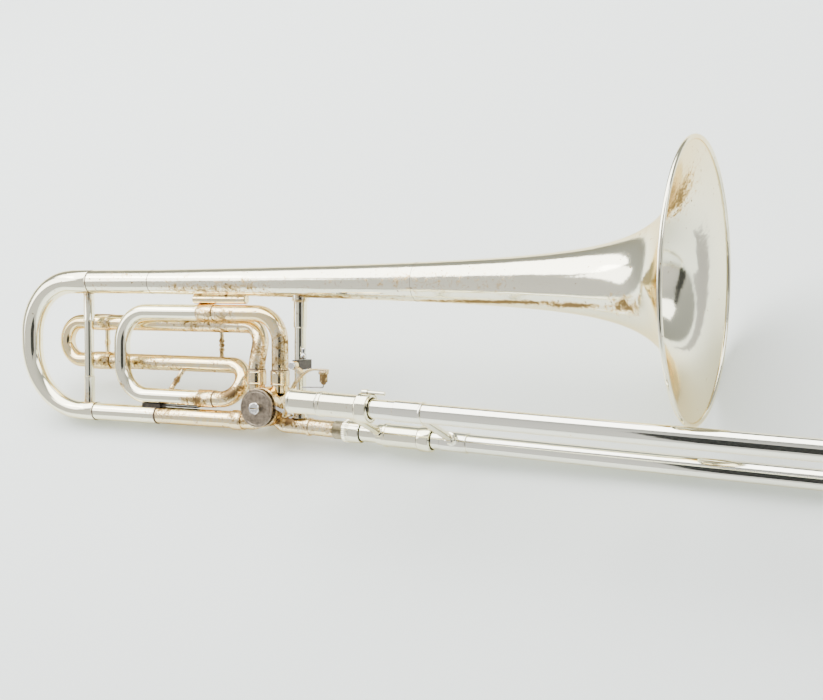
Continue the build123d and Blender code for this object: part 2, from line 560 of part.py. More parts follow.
# --- hand slide ----------------------------------------------------------------------------------
def build_hand_slide():
    inner_tubes = []
    sleeves = []
    ferrules = []
    for side, across, z, start in [("upper", MOUTH_Y, MOUTH_Z, 123.5), ("lower", 0.0, 0.0, 109.0)]:
        tube = slide_pipe(start, INNER_END_S, INNER_R, BORE_R, across, z)
        tube += slide_pipe(INNER_END_S - 100, INNER_END_S, STOCKING_R, BORE_R, across, z)
        inner_tubes.append(tube)
        outer = slide_pipe(OUTER_START_S, BOW_START_S - 6, OUTER_R, OUTER_IN_R, across, z)
        node(f"{side}_outer_tube", outer)
        sleeve = slide_pipe(SADDLE_S[0], SADDLE_S[1], 8.3, OUTER_R, across, z)
        sleeve += slide_pipe(SADDLE_S[1] - 1.6, SADDLE_S[1], 8.8, 8.2, across, z)
        sleeves.append(sleeve)
        ferrules.append(slide_pipe(BOW_START_S - 22, BOW_START_S, 8.6, OUTER_R, across, z))
    node("inner_slide_tubes", *inner_tubes)
    node("outer_brace_sleeves", *sleeves)
    node("bow_ferrules", *ferrules)
    node("leadpipe", slide_pipe(126.0, 330.0, 6.9, 6.3, MOUTH_Y, MOUTH_Z))

    width = math.hypot(MOUTH_Y, MOUTH_Z)
    unit = Vector(0, MOUTH_Y, MOUTH_Z).normalized()
    s_mid = sum(SADDLE_S) / 2
    a = unit * 6.0
    b = unit * (width - 6.0)
    brace = rod(slide_point(s_mid, a.Y, a.Z), slide_point(s_mid, b.Y, b.Z), 3.2)
    for reach in (11.0, width - 14.0):
        c = unit * reach
        d = unit * (reach + 3.0)
        brace += rod(slide_point(s_mid, c.Y, c.Z), slide_point(s_mid, d.Y, d.Z), 4.6)
    brace -= slide_rod(180, 225, 8.8)
    brace -= slide_rod(180, 225, 8.8, MOUTH_Y, MOUTH_Z)
    node("outer_brace", brace)

    start = Vector(*slide_point(BOW_START_S))
    end = Vector(*slide_point(BOW_START_S, MOUTH_Y, MOUTH_Z))
    run = (Vector(*slide_point(1.0)) - Vector(*slide_point(0.0))).normalized()
    out = start - run * 6.0
    tip = (start + end) / 2 + run * (width / 2)
    path = Line(out, start)
    path += ThreePointArc(start, tip, end)
    path += Line(end, end - run * 6.0)
    node("slide_bow", bent_pipe(Wire(path.edges()), OUTER_R, 6.95))
    guard_in = tip + run * (OUTER_R - 1.0)
    guard = rod(tuple(guard_in), tuple(tip + run * (OUTER_R + 4.0)), 6.5)
    bow_fill = bent_rod(Wire(path.edges()), OUTER_R)
    node("slide_bumper", guard - bow_fill)


def build_water_key():
    """The water key stands on the side of the lower bow tube, towards the bell."""
    across_unit = Vector(0, MOUTH_Y, MOUTH_Z).normalized()
    outward = Vector(0, across_unit.Z, -across_unit.Y)
    s_hole = BOW_START_S - 24.0

    def at(s, rise, side=0.0):
        v = outward * rise + across_unit * side
        return slide_point(s, v.Y, v.Z)

    s_pivot = s_hole - 14.0
    nipple = rod(at(s_hole - 7, 4.0), at(s_hole - 7, 10.2), 2.6)
    nipple -= rod(at(s_hole - 7, 3.0), at(s_hole - 7, 11.0), 1.4)
    nipple -= slide_rod(s_hole - 20, s_hole + 10, OUTER_R)
    node("water_key_cork", rod(at(s_hole - 7, 10.25), at(s_hole - 7, 12.4), 2.9))
    lever = rod(at(s_hole - 7, 12.4), at(s_hole - 7, 13.6), 3.4)
    lever += rod(at(s_hole - 7, 13.6), at(s_pivot - 8, 13.6), 1.1)
    lever += rod(at(s_pivot - 8, 13.6), at(s_pivot - 24, 16.0), 1.1)
    lever += rod(at(s_pivot - 23, 15.6), at(s_pivot - 25, 16.2), 3.6)
    lever += rod(at(s_pivot - 6, 13.2, -2.3), at(s_pivot - 6, 13.2, 2.3), 1.9)
    lever -= rod(at(s_pivot - 6, 13.2, -4), at(s_pivot - 6, 13.2, 4), 0.85)
    node("water_key_lever", lever)
    saddle = Part()
    for side in (-1, 1):
        saddle += rod(at(s_pivot - 6, 6.0, side * 3.6), at(s_pivot - 6, 15.0, side * 3.6), 1.0)
    saddle -= slide_rod(s_hole - 40, s_hole + 10, OUTER_R)
    saddle -= rod(at(s_pivot - 6, 13.2, -5), at(s_pivot - 6, 13.2, 5), 0.8)
    node("water_key_mount", nipple, saddle)
    node("water_key_screw", rod(at(s_pivot - 6, 13.2, -4.8), at(s_pivot - 6, 13.2, 4.8), 0.8))
    coil = rod(at(s_pivot - 6, 13.2, 4.9), at(s_pivot - 6, 13.2, 6.9), 1.9)
    coil -= rod(at(s_pivot - 6, 13.2, 4.0), at(s_pivot - 6, 13.2, 8.0), 1.1)
    coil += rod(at(s_pivot - 7.5, 13.4, 5.9), at(s_pivot - 13, 8.9, 2.0), 0.4)
    node("water_key_spring", coil)


def rest_location():
    """Lay the instrument on the table: roll, pitch, then stand its box on the origin."""
    turn = Location((0, 0, 0), (0, REST_PITCH, 0)) * Location((0, 0, 0), (REST_ROLL, 0, 0))
    boxes = [(turn * shape).bounding_box() for shape in NODES.values()]
    low = Vector(*[min(getattr(box.min, axis) for box in boxes) for axis in "XYZ"])
    high = Vector(*[max(getattr(box.max, axis) for box in boxes) for axis in "XYZ"])
    return Location((-(low.X + high.X) / 2, -(low.Y + high.Y) / 2, -low.Z)) * turn


def main():
    build_bell()
    build_main_tuning_slide()
    build_neckpipe()
    build_valve()
    build_knuckles()
    build_f_wrap()
    build_f_tuning_slide()
    build_stays()
    build_lever()
    build_link()
    build_receivers()
    build_barrels()
    build_hand_slide()
    build_water_key()
    rest = rest_location()
    for name, shape in NODES.items():
        export_step(rest * shape, f"parts/{name}.step")


if __name__ == "__main__":
    main()
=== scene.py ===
"""The looks of a silver-plated tenor trombone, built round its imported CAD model.

Shiny tubes, bows, the bell and the turned pieces are rebuilt smooth, at the CAD model's own sizes. They
are placed in the instrument's drawing frame (millimetres: X along the bell towards its mouth, Y from the
neckpipe up to the bell, Z towards the mouthpiece side), and place() takes that frame to the row frame.
"""
import math

import bpy
from mathutils import Euler, Matrix, Vector, noise


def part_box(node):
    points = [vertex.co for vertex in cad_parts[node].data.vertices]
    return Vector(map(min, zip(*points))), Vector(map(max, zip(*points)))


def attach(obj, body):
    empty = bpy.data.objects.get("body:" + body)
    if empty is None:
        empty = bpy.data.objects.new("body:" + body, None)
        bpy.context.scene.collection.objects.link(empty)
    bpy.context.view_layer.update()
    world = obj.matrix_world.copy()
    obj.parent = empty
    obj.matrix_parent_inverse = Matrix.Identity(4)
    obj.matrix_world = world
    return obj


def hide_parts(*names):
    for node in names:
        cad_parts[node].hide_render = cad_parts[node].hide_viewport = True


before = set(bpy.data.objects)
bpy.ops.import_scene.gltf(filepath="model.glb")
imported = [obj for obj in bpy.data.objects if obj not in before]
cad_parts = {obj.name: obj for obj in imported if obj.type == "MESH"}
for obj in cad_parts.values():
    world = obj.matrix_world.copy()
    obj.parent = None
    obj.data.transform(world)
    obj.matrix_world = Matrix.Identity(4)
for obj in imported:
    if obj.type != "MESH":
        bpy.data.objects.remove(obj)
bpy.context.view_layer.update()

# --- the drawing frame ---------------------------------------------------------------------------
MM = 0.001
ROLL = math.radians(43.7)
PITCH = math.radians(-0.76)
TURN = Matrix.Rotation(PITCH, 3, "Y") @ Matrix.Rotation(ROLL, 3, "X")

BELL_Y = 123.9
BOW_LEFT = -657.0
VALVE = (-376.5, 14.0, 0.0)
SLIDE_PIVOT_X = -397.0
SLIDE_TILT = math.radians(-1.935)
MOUTH = (32.0, 84.6)
AXIS_ACROSS = Vector((0.0, MOUTH[0], MOUTH[1])).normalized()

_low, _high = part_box("rotor_casing")
ORIGIN = (_low + _high) / 2 - TURN @ (Vector(VALVE) * MM)


def place(point):
    """A point of the drawing frame, in the row frame and in metres."""
    return ORIGIN + TURN @ (Vector(point) * MM)


def slide_point(s, across=0.0, z=0.0):
    """A point on the hand slide: S along it, across towards the bell."""
    x = SLIDE_PIVOT_X + s * math.cos(SLIDE_TILT) - across * math.sin(SLIDE_TILT)
    y = s * math.sin(SLIDE_TILT) + across * math.cos(SLIDE_TILT)
    return (x, y, z)


def bell_radius(depth):
    """Outside radius of the bell at a distance behind its rim."""
    cone = 9.5 + 0.009 * (505.0 - depth)
    horn = (24.1 / (24.1 + depth)) ** 1.3
    return cone + (108.0 - 14.045) * horn


# --- tarnish and painted shade -------------------------------------------------------------------
# Each mark is its middle in the drawing frame, its half sizes along X, Y and Z, and its strength.
MARKS = [
    ((-560, 118, 8), (22, 10, 14), 0.35),
    ((-430, 118, 10), (85, 7, 16), 0.50),
    ((-330, 111, 8), (95, 2.6, 16), 0.70),
    ((-170, 108, 14), (100, 2.0, 16), 0.98),
    ((-100, 106, 22), (40, 2.6, 12), 1.0),
    ((-52, 105, 42), (22, 8, 18), 1.05),
    ((-12, 110, 74), (7, 7, 10), 0.95),
    ((-456, 16, 6), (16, 7, 8), 0.85),
    ((-432, 94, 3), (24, 9, 12), 0.60),
    ((-414, 25, 5), (26, 10, 12), 0.70),
    ((-392, 60, 0), (16, 30, 12), 0.55),
    ((-366, 60, 0), (12, 30, 12), 0.50),
    ((-440, 66, -16), (18, 26, 12), 0.45),
    ((-486, 30, -8), (14, 20, 12), 0.65),
    ((-460, 85, -17), (70, 8, 10), 0.55),
    ((-520, 48, -17), (55, 8, 10), 0.45),
    ((-500, 6, 4), (40, 9, 9), 0.45),
    ((-370, 4, 6), (60, 12, 14), 0.55),
    ((-300, 16, 12), (26, 12, 14), 0.30),
    ((-20, 190, 0), (26, 34, 30), 0.80),
    ((-30, 160, 10), (40, 20, 40), 0.25),
    ((-304, 42, 28), (6, 9, 6), 1.0),
    ((-352, 12, 6), (14, 15, 14), 1.1),
    ((-384, 26, 6), (10, 6, 10), 0.9),
    ((-584, 112, 4), (8, 6, 8), 0.9),
    ((-584, 10, 4), (9, 7, 9), 0.9),
    ((-345, 110, 4), (10, 5, 8), 0.9),
    ((-578, 84, -12), (14, 8, 8), 0.55),
    ((-578, 48, -12), (14, 9, 8), 0.6),
    ((-540, 128, 6), (45, 9, 12), 0.46),
    ((-430, 122, 8), (110, 8, 12), 0.35),
    ((-200, 125, 18), (130, 16, 14), 0.30),
    ((-330, 34, 28), (16, 24, 6), 0.5),
    ((-543, 24, 4), (16, 14, 9), 0.6),
    ((-528, 88, 0), (10, 6, 9), 0.6),
    ((-300, -2, 2), (20, 8, 10), 0.5),
    # The last three marks are painted shade. They are the dark reflection of the shaded barrel and
    # lock-nut rims on the tubes just beyond them.
    ((slide_point(172, *MOUTH)), (2.6, 12, 12), 1.25),
    ((slide_point(184, 0, 0)), (2.6, 12, 12), 1.25),
    ((slide_point(118.5, 0, 0)), (2.6, 12, 12), 1.25),
]


def tarnish_and_shade_at(point):
    """How tarnished the silver is at a point of the drawing frame, from 0 to 1, with painted shade
    beside the barrel and nut ends counted in.
    """
    amount = 0.0
    for middle, half, strength in MARKS:
        away = sum(((point[i] - middle[i]) / half[i]) ** 2 for i in range(3))
        amount = max(amount, strength * math.exp(-1.2 * away))
    return amount


# --- meshes --------------------------------------------------------------------------------------
SEGMENTS = 72


class Piece:
    """Gathers rings of points in the drawing frame and makes one mesh of them."""

    def __init__(self):
        self.points = []
        self.faces = []

    def skin(self, rings, closed=False):
        """Join rings of equal length into a surface. An open run is capped at both ends."""
        first = len(self.points)
        count = len(rings[0])
        for ring in rings:
            self.points.extend(ring)
        runs = len(rings) if closed else len(rings) - 1
        for i in range(runs):
            a = first + i * count
            b = first + ((i + 1) % len(rings)) * count
            for j in range(count):
                k = (j + 1) % count
                self.faces.append((a + j, a + k, b + k, b + j))
        if not closed:
            last = first + (len(rings) - 1) * count
            self.faces.append(tuple(range(first + count - 1, first - 1, -1)))
            self.faces.append(tuple(range(last, last + count)))

    def turned(self, start, end, profile, bore=None, segments=SEGMENTS):
        """A turned piece from start to end. The profile is (distance from start, radius) pairs."""
        a = Vector(start)
        axis = (Vector(end) - a).normalized()
        side = axis.orthogonal().normalized()
        up = axis.cross(side)
        outline = list(profile)
        if bore is not None:
            outline += [(profile[-1][0], bore), (profile[0][0], bore)]
        rings = []
        for distance, radius in outline:
            ring = []
            for j in range(segments):
                angle = 2 * math.pi * j / segments
                outward = side * math.cos(angle) + up * math.sin(angle)
                ring.append(a + axis * distance + outward * radius)
            rings.append(ring)
        self.skin(rings, closed=bore is not None)

    def pipe(self, start, end, outer, inner=None, step=5.0):
        """A straight tube or rod, cut into short lengths so that it can carry tarnish and painted shade.
        """
        length = (Vector(end) - Vector(start)).length
        cuts = max(1, round(length / step))
        profile = [(length * i / cuts, outer) for i in range(cuts + 1)]
        self.turned(start, end, profile, inner)

    def tube(self, line, outer, inner=None):
        """A bent tube along a line of points. The radii are numbers, or pairs that change evenly."""
        points = [Vector(p) for p in line]
        count = len(points)
        tangents = []
        for i in range(count):
            before = points[max(i - 1, 0)]
            after = points[min(i + 1, count - 1)]
            tangents.append((after - before).normalized())
        run = [0.0]
        for i in range(1, count):
            run.append(run[-1] + (points[i] - points[i - 1]).length)
        side = tangents[0].orthogonal().normalized()
        frames = []
        for tangent in tangents:
            side = (side - tangent * side.dot(tangent)).normalized()
            frames.append((side.copy(), tangent.cross(side)))

        def rings(radius):
            first, last = radius if isinstance(radius, tuple) else (radius, radius)
            made = []
            for i in range(count):
                r = first + (last - first) * run[i] / run[-1]
                s, u = frames[i]
                ring = []
                for j in range(SEGMENTS):
                    angle = 2 * math.pi * j / SEGMENTS
                    ring.append(points[i] + (s * math.cos(angle) + u * math.sin(angle)) * r)
                made.append(ring)
            return made

        if inner is None:
            self.skin(rings(outer))
        else:
            self.skin(rings(outer) + rings(inner)[::-1], closed=True)

    def ball(self, middle, radius, rows=16):
        """A sphere."""
        top = Vector(middle) + Vector((0, 0, radius))
        bottom = Vector(middle) - Vector((0, 0, radius))
        profile = []
        for i in range(rows + 1):
            angle = math.pi * (i + 0.02) / (rows + 0.04)
            profile.append((radius - radius * math.cos(angle), radius * math.sin(angle)))
        self.turned(bottom, top, profile, segments=32)

    def make(self, name, body, material, nodes=(), bevel=0.15):
        """Make the object, hang it on its body and hide the CAD nodes it stands for."""
        mesh = bpy.data.meshes.new(name)
        mesh.from_pydata([place(p) for p in self.points], [], self.faces)
        mesh.validate()
        obj = bpy.data.objects.new(name, mesh)
        bpy.context.scene.collection.objects.link(obj)
        paint(obj, [tarnish_and_shade_at(p) for p in self.points])
        finish_mesh(obj, material, bevel)
        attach(obj, body)
        if nodes:
            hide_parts(*nodes)
        return obj


def paint(obj, amounts):
    """Store the tarnish and painted shade at each point of a mesh."""
    layer = obj.data.attributes.new("tarnish_and_shade", "FLOAT", "POINT")
    layer.data.foreach_set("value", amounts)


def finish_mesh(obj, material, bevel):
    """Shade a mesh smooth between sharp edges, ease its edges and give it its material."""
    mesh = obj.data
    mesh.materials.clear()
    mesh.materials.append(material)
    mesh.shade_smooth()
    mesh.set_sharp_from_angle(angle=math.radians(32))
    if bevel:
        ease = obj.modifiers.new("ease", "BEVEL")
        ease.width = bevel * MM
        ease.segments = 2
        ease.limit_method = "ANGLE"
        ease.angle_limit = math.radians(40)
        ease.harden_normals = True


def arc(start, middle, end, steps=32):
    """Points along the half circle from start to end that bulges through middle."""
    a = Vector(start)
    b = Vector(end)
    centre = (a + b) / 2
    out = Vector(middle) - centre
    points = []
    for i in range(steps + 1):
        angle = math.pi * i / steps
        points.append(centre + (a - centre) * math.cos(angle) + out * math.sin(angle))
    return points


def rounded(corners, radii, step=3.5):
    """Points along a line of straight runs joined by arcs of the given radii."""
    corners = [Vector(c) for c in corners]
    radii = list(radii) if isinstance(radii, (list, tuple)) else [radii] * (len(corners) - 2)
    points = [corners[0]]
    for i in range(1, len(corners) - 1):
        before = (corners[i - 1] - corners[i]).normalized()
        after = (corners[i + 1] - corners[i]).normalized()
        half = before.angle(after) / 2
        reach = radii[i - 1] / math.tan(half)
        first = corners[i] + before * reach
        last = corners[i] + after * reach
        centre = corners[i] + (before + after).normalized() * (radii[i - 1] / math.sin(half))
        spread = math.pi - 2 * half
        steps = max(4, round(radii[i - 1] * spread / step))
        u = (first - centre)
        v = (last - centre)
        for k in range(steps + 1):
            t = spread * k / steps
            w1 = math.sin(spread - t) / math.sin(spread)
            w2 = math.sin(t) / math.sin(spread)
            points.append(centre + u * w1 + v * w2)
    points.append(corners[-1])
    spaced = [points[0]]
    for a, b in zip(points, points[1:]):
        gap = (b - a).length
        if gap < 0.05:
            continue
        cuts = max(1, round(gap / step))
        spaced.extend(a + (b - a) * (k / cuts) for k in range(1, cuts + 1))
    return spaced


# --- materials -----------------------------------------------------------------------------------
def link(tree, start, output, end, entry):
    """Join two sockets by name."""
    tree.links.new(start.outputs[output], end.inputs[entry])


def noise_node(tree, coords, scale, detail=6.0, roughness=0.6, distortion=0.0):
    """A noise texture in the row frame."""
    node = tree.nodes.new("ShaderNodeTexNoise")
    node.inputs["Scale"].default_value = scale
    node.inputs["Detail"].default_value = detail
    node.inputs["Roughness"].default_value = roughness
    node.inputs["Distortion"].default_value = distortion
    link(tree, coords, "Object", node, "Vector")
    return node


def ramp_node(tree, source, output, stops):
    """A colour ramp over (position, colour) stops."""
    node = tree.nodes.new("ShaderNodeValToRGB")
    elements = node.color_ramp.elements
    while len(elements) < len(stops):
        elements.new(0.5)
    for element, (position, colour) in zip(elements, stops):
        element.position = position
        element.color = (*colour, 1.0)
    link(tree, source, output, node, "Fac")
    return node


def math_node(tree, operation, first, second, clamp=False):
    """One sum. Each side is a number or a (node, output) pair."""
    node = tree.nodes.new("ShaderNodeMath")
    node.operation = operation
    node.use_clamp = clamp
    for i, value in enumerate((first, second)):
        if isinstance(value, tuple):
            tree.links.new(value[0].outputs[value[1]], node.inputs[i])
        else:
            node.inputs[i].default_value = value
    return node


def grey(value):
    """A grey colour."""
    return (value, value, value)


def math_node_pair(tree, source, factor):
    """A noise, moved to zero mean and scaled, as a (node, output) pair."""
    centred = math_node(tree, "SUBTRACT", (source, "Fac"), 0.5)
    return (math_node(tree, "MULTIPLY", (centred, "Value"), factor), "Value")


WARM_SILVER = (0.95, 0.915, 0.71)
WARM_RIM = (0.93, 0.78, 0.52)
PATCH_START = 0.74
PATCH_SHARPNESS = 4.2
PATCH_PULL = 0.52
SPOT_START = 0.765
SPOT_SHARPNESS = 20.0
SPOT_PULL = 0.24
TARNISH_AND_SHADE_ROUGHNESS = 0.38


def silver(
    name,
    slot,
    colour=WARM_SILVER,
    rough=0.10,
    spread=0.10,
    stain_and_shade=1.0,
    veil=0.05,
    rim_tint=WARM_RIM,
    dents=0.05,
):
    """Silver plate: bright metal with a fine haze, and brown tarnish and painted shade where the mesh
    says so.

    Patches grow where noise and the mesh's tarnish and painted-shade amount add up to more than
    PATCH_START, and small spots where a finer noise does so past SPOT_START. Veil tarnishes the whole
    piece a little.
    """
    material = bpy.data.materials.new(name)
    material["slot"] = slot
    material.use_nodes = True
    tree = material.node_tree
    shader = tree.nodes["Principled BSDF"]
    shader.inputs["Metallic"].default_value = 1.0
    coords = tree.nodes.new("ShaderNodeTexCoord")
    broad = noise_node(tree, coords, 22.0, 4.0)
    fine = noise_node(tree, coords, 170.0, 8.0, 0.7, 0.6)
    specks = noise_node(tree, coords, 620.0, 3.0, 0.5)

    amount = tree.nodes.new("ShaderNodeAttribute")
    amount.attribute_name = "tarnish_and_shade"
    mixed = math_node(tree, "ADD", (fine, "Fac"), math_node_pair(tree, specks, 0.35))
    lifted = math_node(tree, "ADD", (mixed, "Value"), math_node_pair(tree, broad, 0.35))
    scaled = math_node(tree, "MULTIPLY", (amount, "Fac"), PATCH_PULL * stain_and_shade)
    level = math_node(tree, "ADD", (scaled, "Value"), veil)
    reach = math_node(tree, "ADD", (lifted, "Value"), (level, "Value"))
    edge = math_node(tree, "SUBTRACT", (reach, "Value"), PATCH_START)
    patches = math_node(tree, "MULTIPLY", (edge, "Value"), PATCH_SHARPNESS, clamp=True)
    dots = noise_node(tree, coords, 430.0, 1.0, 0.4)
    sparse = math_node(tree, "MULTIPLY", (amount, "Fac"), SPOT_PULL)
    above = math_node(tree, "ADD", (dots, "Fac"), (sparse, "Value"))
    over = math_node(tree, "SUBTRACT", (above, "Value"), SPOT_START)
    spots = math_node(tree, "MULTIPLY", (over, "Value"), SPOT_SHARPNESS * stain_and_shade, clamp=True)
    mask = math_node(tree, "MAXIMUM", (patches, "Value"), (spots, "Value"))

    tint = ramp_node(
        tree,
        mask,
        "Value",
        [
            (0.00, colour),
            (0.20, (0.90, 0.81, 0.60)),
            (0.50, (0.74, 0.56, 0.29)),
            (0.80, (0.42, 0.29, 0.12)),
            (1.00, (0.20, 0.13, 0.06)),
        ],
    )
    link(tree, tint, "Color", shader, "Base Color")
    shader.inputs["Specular Tint"].default_value = (*rim_tint, 1.0)
    haze = math_node(tree, "MULTIPLY", (broad, "Fac"), spread)
    base = math_node(tree, "ADD", (haze, "Value"), rough - spread / 2)
    dull = math_node(tree, "MULTIPLY", (mask, "Value"), TARNISH_AND_SHADE_ROUGHNESS)
    total = math_node(tree, "ADD", (base, "Value"), (dull, "Value"), clamp=True)
    link(tree, total, "Value", shader, "Roughness")

    bump = tree.nodes.new("ShaderNodeBump")
    bump.inputs["Strength"].default_value = dents
    bump.inputs["Distance"].default_value = 0.0008
    link(tree, broad, "Fac", bump, "Height")
    link(tree, bump, "Normal", shader, "Normal")
    return material


def plain(name, slot, colour, rough, metallic=0.0, scale=300.0, change=0.25):
    """A simple finish whose colour and gloss vary a little."""
    material = bpy.data.materials.new(name)
    material["slot"] = slot
    material.use_nodes = True
    tree = material.node_tree
    shader = tree.nodes["Principled BSDF"]
    shader.inputs["Metallic"].default_value = metallic
    coords = tree.nodes.new("ShaderNodeTexCoord")
    grain = noise_node(tree, coords, scale)
    dark = tuple(c * (1 - change) for c in colour)
    light = tuple(min(1.0, c * (1 + change)) for c in colour)
    tint = ramp_node(tree, grain, "Fac", [(0.3, dark), (0.7, light)])
    link(tree, tint, "Color", shader, "Base Color")
    gloss = ramp_node(tree, grain, "Fac", [(0.3, grey(rough * 0.8)), (0.7, grey(rough * 1.2))])
    link(tree, gloss, "Color", shader, "Roughness")
    return material


SILVER = silver("silver_plate", "silver_plate", veil=0.04)
BRIGHT = silver("silver_slide", "silver_slide", (0.935, 0.92, 0.80), 0.055, 0.05, 0.55, 0.0)
GILT_COLOUR = (0.94, 0.755, 0.41)
GILT_RIM = (0.60, 0.34, 0.11)
GILT = silver("gilt_silver", "gilt_silver", GILT_COLOUR, 0.11, 0.10, 1.1, 0.17, GILT_RIM)
BELL = silver("bell_silver", "silver_plate", (0.95, 0.915, 0.72), 0.12, 0.10, 1.15, 0.06, dents=0.6)
DARK = plain("dark_metal", "dark_metal", (0.27, 0.22, 0.165), 0.36, 1.0, 300.0, 0.45)
BLACKENED = plain("blackened_metal", "dark_metal", (0.07, 0.06, 0.05), 0.4, 1.0, 420.0, 0.4)
BRASS = plain("bare_brass", "bare_brass", (0.72, 0.58, 0.32), 0.28, 1.0)
NICKEL = plain("nickel_silver", "nickel_silver", (0.82, 0.81, 0.78), 0.12, 1.0, 200.0, 0.06)
STEEL = plain("spring_steel", "spring_steel", (0.30, 0.29, 0.28), 0.3, 1.0)
CORK = plain("cork", "cork", (0.52, 0.36, 0.21), 0.9, 0.0, 500.0, 0.35)
RUBBER = plain("rubber", "rubber", (0.03, 0.03, 0.03), 0.6, 0.0)
SEAM = plain("seam_dirt", "gilt_silver", (0.10, 0.06, 0.03), 0.5, 0.1, 700.0, 0.5)
THREAD = plain("thread_brass", "bare_brass", (0.42, 0.36, 0.24), 0.35, 1.0, 300.0, 0.3)


# --- straight tubes along X and along the hand slide -------------------------------------------------
def along_x(piece, x0, x1, outer, inner=None, y=0.0, z=0.0):
    """A straight tube along X."""
    piece.pipe((x0, y, z), (x1, y, z), outer, inner)


def along_slide(piece, s0, s1, outer, inner=None, across=0.0, z=0.0, step=8.0):
    """A straight tube along the hand slide."""
    piece.pipe(slide_point(s0, across, z), slide_point(s1, across, z), outer, inner, step)


# --- the bell ------------------------------------------------------------------------------------
def bell_profile(depth_far, depth_near, with_bead):
    """The bell's wall between two depths: the outside forwards and the inside back again."""
    wall = 0.6
    bead_r = 2.0
    count = 90 if with_bead else 50
    outside = []
    inside = []
    for i in range(count + 1):
        share = i / count
        depth = depth_far + (depth_near - depth_far) * (1 - (1 - share) ** 1.9 if with_bead else share)
        r = bell_radius(depth)
        slope = math.atan((bell_radius(depth) - bell_radius(depth + 0.5)) / 0.5)
        outside.append((-depth, r))
        inside.append((-depth + wall * math.sin(slope), r - wall * math.cos(slope)))
    bead = []
    if with_bead:
        for k in range(1, 18):
            angle = math.radians(150 - 330 * k / 18)
            bead.append((bead_r * math.cos(angle), 106.0 + bead_r * math.sin(angle)))
    return outside + bead + inside[::-1]


def bell_piece(depth_far, depth_near, with_bead, segments):
    """A length of the bell, turned about its axis."""
    piece = Piece()
    rings = []
    for x, r in bell_profile(depth_far, depth_near, with_bead):
        ring = []
        for j in range(segments):
            angle = 2 * math.pi * j / segments
            ring.append(Vector((x, BELL_Y + r * math.cos(angle), r * math.sin(angle))))
        rings.append(ring)
    piece.skin(rings, closed=True)
    return piece


def build_bell():
    flare = bell_piece(230.0, 0.35, True, 200)
    flare.make("bell_flare_smooth", "horn", BELL, ["bell_flare", "bell_rim_wire"], bevel=0)
    stem = bell_piece(505.0, 230.0, False, SEGMENTS)
    stem.make("bell_stem_smooth", "horn", BELL, ["bell_stem"], bevel=0)

    sleeves = Piece()
    along_x(sleeves, -578.7, -505.0, 11.2, 10.3, BELL_Y)
    along_x(sleeves, -573.7, -500.0, 8.3, 7.75)
    sleeves.make("tuning_sleeves_smooth", "horn", SILVER, ["tuning_slide_sleeves"])
    neck = Piece()
    along_x(neck, -500.0, -413.0, 7.75, 7.1)
    neck.make("neckpipe_smooth", "horn", GILT, ["neckpipe"])


# --- main tuning slide -----------------------------------------------------------------------------
def build_tuning_slide():
    body = "main_tuning_slide"
    corners = [(-604, BELL_Y, 0), (BOW_LEFT, BELL_Y, 0), (BOW_LEFT, 0, 0), (-595, 0, 0)]
    line = rounded(corners, [52.0, 63.0])
    bow = Piece()
    bow.tube(line, (11.1, 8.6), (10.4, 7.9))
    bow.make("tuning_bow_smooth", body, SILVER, ["tuning_slide_bow"])
    ferrules = Piece()
    upper = [(0, 11.3), (22.6, 11.3), (23.2, 11.0), (23.8, 11.3), (25, 11.3)]
    ferrules.turned((-604, BELL_Y, 0), (-579, BELL_Y, 0), upper, 10.2)
    lower = [(0, 8.7), (19, 8.7), (19.5, 8.45), (20, 8.7), (21, 8.7)]
    ferrules.turned((-595, 0, 0), (-574, 0, 0), lower, 7.68)
    ferrules.make("tuning_ferrules_smooth", body, SILVER, ["tuning_slide_ferrules"])
    legs = Piece()
    along_x(legs, -604, -517, 10.2, 9.6, BELL_Y)
    along_x(legs, -595, -515, 7.68, 7.1)
    legs.make("tuning_legs_smooth", body, NICKEL, ["tuning_slide_legs"])
    brace = Piece()
    brace.pipe((-584, 33.4, 0), (-584, 86.4, 0), 4.5)
    brace.turned((-584, 115, 0), (-584, 86.4, 0), [(0, 5.0), (26.6, 5.0), (27.4, 5.4), (28.6, 5.4)])
    brace.turned((-584, 7, 0), (-584, 33.4, 0), [(0, 5.0), (24.4, 5.0), (25.2, 5.4), (26.4, 5.4)])
    brace.make("tuning_brace_smooth", body, SILVER, ["tuning_slide_brace"])


# --- F attachment --------------------------------------------------------------------------------
F_R = 7.4
F_BORE = 6.7
F_BACK = -18.0
X1 = -390.5
X2 = -366.0
F_SEAM = -436.5


INSIDE_CASING = 15.4


def knuckle(piece, corners, radius, outer, inner):
    """A bent tube that stops inside the wall of the valve casing."""
    line = rounded(corners, radius, 1.5)
    kept = [p for p in line if (p - Vector(VALVE)).length > INSIDE_CASING]
    piece.tube(kept, outer, inner)


